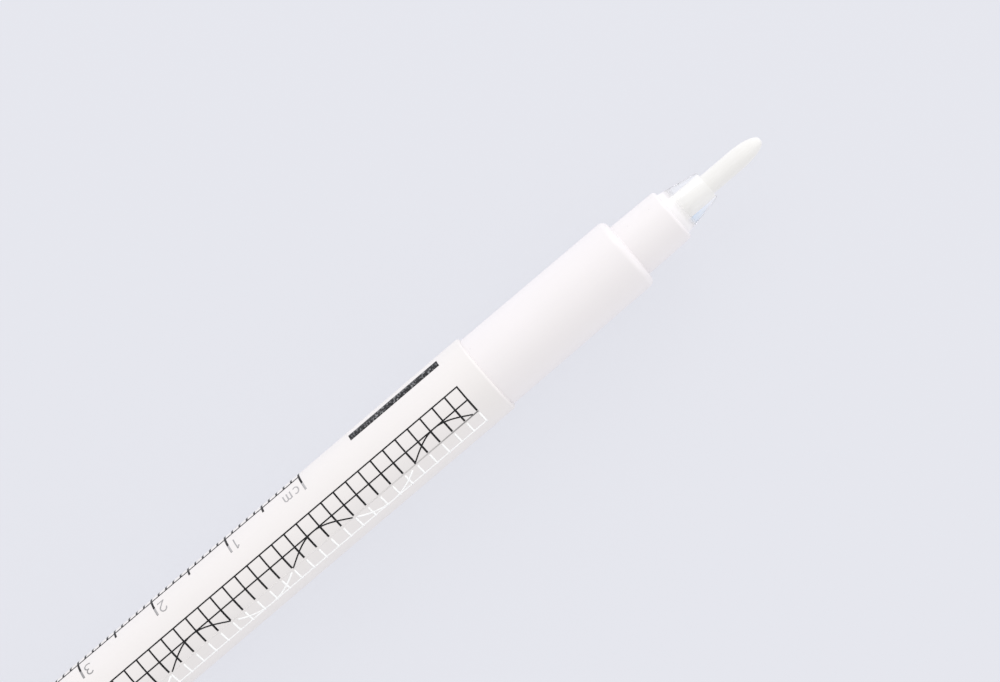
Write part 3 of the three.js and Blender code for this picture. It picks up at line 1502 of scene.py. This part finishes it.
@dataclass(frozen=True)
class Grid:
    """The grid, with two dark rows and a white one below them, and the wave across it.

    The widths are those of the dark lines, of the columns in each dark row, and of all white
    ink. The gaps are the angles between the third line and the columns above and below it,
    and the overrun is how far the white columns pass the last line.
    """

    start: float = 3.04
    pitch: float = 1.6585
    cells: int = 46
    lines: tuple[float, ...] = (11.2, -10.2, -31.0, -53.0)
    thin: float = 0.15
    column: float = 0.175
    low_column: float = 0.21
    pale: float = 0.22
    gap_above: float = 1.5
    gap_below: float = 3.2
    overrun: float = 2.5
    wave_start: float = 3.45
    wave_half: float = 8.16
    wave_step: float = 0.2
    wave_white_from: float = -0.1
    shortest_run: int = 3

    @property
    def end(self) -> float:
        """The distance of the last column."""
        return self.start + self.pitch * self.cells

    def build(self, press: Press) -> None:
        """Prints the lines, the columns and the wave.

        Args:
            press: Lays the ink.
        """
        first, second, third, last = self.lines
        columns = [self.start + self.pitch * i for i in range(self.cells + 1)]
        half = self.column / 2

        def line(degrees: float, width: float) -> Shell:
            """One line along the barrel."""
            return press.lengthwise(self.start - half, self.end + half, degrees, width)

        dark = [
            press.crosswise(place, arcs, width)
            for place in columns
            for arcs, width in (
                ((second, first), self.column),
                ((third + self.gap_above, second), self.low_column),
            )
        ]
        white_arcs = (last - self.overrun, third - self.gap_below)
        white = [press.crosswise(place, white_arcs, self.pale) for place in columns]
        press.add("grid_dark_lines", [line(first, self.thin), line(second, self.thin)], PrintInk.BLACK)
        press.add("grid_dark_columns", dark, PrintInk.BLACK)
        press.add("grid_third_line", [line(third, self.thin)], PrintInk.FADING)
        press.add("grid_pale_line", [line(last, self.pale)], PrintInk.WHITE)
        press.add("grid_pale_columns", white, PrintInk.WHITE)
        self.add_wave(press)

    def add_wave(self, press: Press) -> None:
        """The wave about the third line: dark where it is above its middle and white below.

        Its level is the middle plus half the height times sin(pi * distance / half wave).

        Args:
            press: Lays the ink.
        """
        crest, trough = press.arc(self.lines[1]), press.arc(self.lines[3])
        distance = np.arange(self.start, self.end, self.wave_step)
        swing = np.sin(math.pi * (distance - self.wave_start) / self.wave_half)
        level = (crest + trough) / 2 + (crest - trough) / 2 * swing
        path = np.stack([distance, level], axis=-1)
        for name, ink, width, shown in (
            ("wave_dark", PrintInk.BLACK, self.thin, swing > 0.0),
            ("wave_pale", PrintInk.WHITE, self.pale, swing < self.wave_white_from),
        ):
            edges = np.flatnonzero(np.diff(shown, prepend=False, append=False))
            runs = [path[first:end] for first, end in zip(edges[::2], edges[1::2])]
            long_runs = [run for run in runs if len(run) >= self.shortest_run]
            press.add(name, [press.strip(run, width, Layer.WAVE) for run in long_runs], ink)


def straight(start: Pair, end: Pair) -> np.ndarray:
    """A straight stroke from one place to another."""
    return np.linspace(start, end, STRAIGHT_POINTS)


def bow(centre: Pair, size: Pair, start: float, end: float) -> np.ndarray:
    """A bowed stroke: the centre plus the size times the cosine and sine of the angle.

    Args:
        centre: The middle of the ellipse that it follows.
        size: Half the ellipse's width and half its height.
        start: The angle where it starts, in degrees.
        end: The angle where it ends.

    Returns:
        Points along the stroke, one in each row.
    """
    count = max(FEWEST_BOW_POINTS, round(abs(end - start) / BOW_STEP))
    angle = np.radians(np.linspace(start, end, count))
    across = centre[0] + size[0] * np.cos(angle)
    up = centre[1] + size[1] * np.sin(angle)
    return np.stack([across, up], axis=-1)


# The strokes of the ruler's signs, in shares of a sign's box from its lower left corner.
SIGNS = {
    "1": [straight((0.62, 0.0), (0.62, 1.0)), straight((0.62, 0.97), (0.3, 0.78))],
    "2": [
        bow((0.47, 0.7), (0.4, 0.28), 170.0, -28.0),
        straight((0.82, 0.56), (0.08, 0.04)),
        straight((0.04, 0.04), (0.94, 0.04)),
    ],
    "3": [bow((0.45, 0.75), (0.37, 0.23), 150.0, -88.0), bow((0.45, 0.28), (0.43, 0.25), 88.0, -150.0)],
    "4": [
        straight((0.68, 0.0), (0.68, 1.0)),
        straight((0.66, 0.97), (0.05, 0.3)),
        straight((0.03, 0.3), (0.97, 0.3)),
    ],
    "5": [
        straight((0.88, 0.96), (0.2, 0.96)),
        straight((0.2, 0.98), (0.14, 0.52)),
        bow((0.45, 0.33), (0.43, 0.3), 135.0, -150.0),
    ],
    "6": [bow((0.48, 0.31), (0.4, 0.28), 0.0, 360.0), bow((0.83, 0.33), (0.75, 0.64), 180.0, 102.0)],
    "c": [bow((0.42, 0.34), (0.36, 0.32), 50.0, 310.0)],
    "m": [
        straight((0.0, 0.0), (0.0, 0.68)),
        bow((0.24, 0.46), (0.24, 0.2), 180.0, 0.0),
        straight((0.48, 0.48), (0.48, 0.0)),
        bow((0.72, 0.46), (0.24, 0.2), 180.0, 0.0),
        straight((0.96, 0.48), (0.96, 0.0)),
    ],
}


@dataclass(frozen=True)
class Lamp:
    """A soft square lamp: the way to it from the marker, and its distance, side and power."""

    towards: Direction
    distance: float
    size: float
    watts: float

    def hang(self, name: str, axis: Axis) -> None:
        """Hangs the lamp so that it faces the barrel's front face.

        Args:
            name: The lamp's name.
            axis: The marker's axis.
        """
        data = bpy.data.lights.new(name, "AREA")
        data.shape = "SQUARE"
        data.size = self.size
        data.energy = self.watts
        lamp = bpy.data.objects.new(name, data)
        back = Vector(self.towards).normalized()
        lamp.location = Vector((axis.x, axis.y, axis.z)) * MM + back * self.distance
        lamp.rotation_mode = "QUATERNION"
        lamp.rotation_quaternion = back.to_track_quat("Z", "Y")
        lamp.visible_camera = False
        bpy.context.scene.collection.objects.link(lamp)


@dataclass(frozen=True)
class Studio:
    """The camera, the floor, the lamps and the light of the room."""

    distance: float = 400.0
    focal_pixels: float = 3892.0
    aim_station: float = 3.127
    aim_side: float = 1.591
    tilt: float = 2.781
    roll: float = 40.4425
    backdrop: Colour = (0.772, 0.78, 0.836)
    floor_colour: Colour = (0.88, 0.895, 0.955)
    shadow_share: float = 0.12
    floor_size: float = 30.0
    room_light: float = 0.945
    clip: Pair = (0.01, 100.0)
    key: Lamp = Lamp(towards=(0.6, 0.85, 0.53), distance=0.8, size=0.5, watts=2.35)
    fill: Lamp = Lamp(towards=(1.0, -0.7, 0.4), distance=0.8, size=0.3, watts=0.75)

    def camera(self, axis: Axis) -> None:
        """Makes the photograph's camera.

        The view turns by the roll about the vertical and then by the tilt about +Y, and the
        camera stands back from the aim point along its own axis.

        Args:
            axis: The marker's axis.
        """
        turn = Matrix.Rotation(math.radians(self.tilt), 4, "Y")
        turn = turn @ Matrix.Rotation(math.radians(-self.roll), 4, "Z")
        aim = Vector((axis.x + self.aim_station, axis.y + self.aim_side, axis.z)) * MM
        data = bpy.data.cameras.new("camera")
        data.sensor_width = SENSOR_WIDTH
        data.lens = self.focal_pixels * SENSOR_WIDTH / PHOTO_WIDTH
        data.clip_start, data.clip_end = self.clip
        camera = bpy.data.objects.new("camera", data)
        back = turn @ Vector((0.0, 0.0, self.distance * MM))
        camera.matrix_world = Matrix.Translation(aim + back) @ turn
        bpy.context.scene.collection.objects.link(camera)
        bpy.context.scene.camera = camera

    @staticmethod
    def seen(shader: Shader) -> Signal:
        """1 for rays that show the backdrop itself, straight, mirrored or through the cone."""
        return shader.rays("Camera", "Glossy", "Transmission")

    def floor(self) -> None:
        """A pale floor that keeps a share of the marker's shadow.

        What it glows with is the backdrop less the light that its matte share gives back.
        """
        half = self.floor_size / 2
        mesh = bpy.data.meshes.new("floor")
        corners = [(-half, -half, 0), (half, -half, 0), (half, half, 0), (-half, half, 0)]
        mesh.from_pydata(corners, [], [(0, 1, 2, 3)])
        floor = bpy.data.objects.new("floor", mesh)
        bpy.context.scene.collection.objects.link(floor)
        material = bpy.data.materials.new("floor")
        shader = Shader(material)
        matte = shader.node("BsdfDiffuse", {"Color": opaque(self.floor_colour)})
        kept = self.shadow_share * self.room_light
        glow_colour = tuple(
            (seen - kept * own) / (1.0 - self.shadow_share)
            for seen, own in zip(self.backdrop, self.floor_colour)
        )
        glow = shader.node("Emission", {"Color": opaque(glow_colour), "Strength": 1.0})
        shader.surface(shader.mixed(self.seen(shader) * (1.0 - self.shadow_share), matte, glow))
        mesh.materials.append(material)

    def room(self) -> None:
        """Even light from all round, and the backdrop where the room itself is seen."""
        world = bpy.data.worlds.new("room")
        bpy.context.scene.world = world
        shader = Shader(world)
        light, backdrop = (
            shader.node("Background", {"Color": opaque(colour), "Strength": strength})
            for colour, strength in ((WHITE, self.room_light), (self.backdrop, 1.0))
        )
        shader.surface(shader.mixed(self.seen(shader), light, backdrop))

    def build(self, axis: Axis) -> None:
        """Sets the whole studio up.

        Args:
            axis: The marker's axis.
        """
        self.camera(axis)
        self.floor()
        self.room()
        self.key.hang("key_lamp", axis)
        self.fill.hang("fill_lamp", axis)
        bpy.context.scene.view_settings.view_transform = "Standard"


BARREL_PLASTIC = MouldedPlastic(
    name="barrel_plastic",
    colour=(0.79, 0.759, 0.752),
    cloud_colour=(0.775, 0.746, 0.739),
    roughness=0.5,
    grain=0.12,
    relief=0.004,
    drawn=0.5,
)
SECTION_PLASTIC = MouldedPlastic(
    name="section_plastic",
    colour=(0.801, 0.769, 0.779),
    cloud_colour=(0.789, 0.758, 0.767),
    roughness=0.46,
    grain=0.16,
    relief=0.004,
    drawn=0.1,
    specks=Specks(node="grip_section", share=0.2),
)
LINER_PLASTIC = MouldedPlastic(
    name="liner_plastic",
    colour=(0.73, 0.75, 0.76),
    cloud_colour=(0.7, 0.72, 0.74),
    roughness=0.55,
    grain=0.2,
    relief=0.006,
    drawn=0.1,
)
CLEAR_PLASTIC = ClearPlastic(
    name="clear_plastic",
    index=1.3,
    # The strength of the cone's painted glow.
    haze=0.045,
    colour=(0.99, 0.995, 1.0),
    milk_colour=(0.83, 0.81, 0.82),
    milk_stations=(26.4, 25.6),
    # The cone's painted blue reflection: its colour, angles and stations.
    trace_colour=(0.41, 0.61, 0.83),
    trace_arcs=(-178.0, -150.0),
    trace_stations=(29.2, 25.8),
)
# The second colour of each fibre is the painted shade of its hollows.
NIB_FIBRE = Fibre("nib_fibre", (0.79, 0.781, 0.77), (0.765, 0.752, 0.735), strand=0.12, relief=0.012)
CORE_FIBRE = Fibre("core_fibre", (0.26, 0.2, 0.46), (0.18, 0.13, 0.36), strand=0.25, relief=0.05)
CORE_FILM = WrapFilm("core_film", (0.84, 0.87, 0.92), (0.74, 0.78, 0.85))


def dress_core(axis: Axis) -> None:
    """Gives the ink core and its film, which stay as the frame's own solids, their finishes.

    Args:
        axis: The marker's axis.
    """
    for node, finish in (("ink_reservoir", CORE_FIBRE), ("reservoir_sleeve", CORE_FILM)):
        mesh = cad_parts[node].data
        mesh.materials.clear()
        mesh.materials.append(finish.material(axis))
        LOG.info("%s: kept, in %s", node, finish.name)


def main() -> None:
    """Builds the marker and its studio."""
    logging.basicConfig(level=logging.INFO, format="%(message)s")
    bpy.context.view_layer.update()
    axis = Axis.from_frame()
    shop = Workshop(axis)
    barrel = BARREL_PLASTIC.material(axis)
    section = SECTION_PLASTIC.material(axis)
    BarrelTube().build(shop, barrel)
    GripMoulding().build(shop, section)
    NibSet().build(shop, CLEAR_PLASTIC.material(axis), NIB_FIBRE.material(axis))
    RearPost().build(shop, barrel)
    Cap().build(shop, barrel, LINER_PLASTIC.material(axis))
    dress_core(axis)
    press = Press(shop, {ink: ink.value.material(axis) for ink in PrintInk})
    for printed in (Bar(), Ruler(), Grid()):
        printed.build(press)
    Studio().build(axis)


if __name__ == "__main__":
    main()
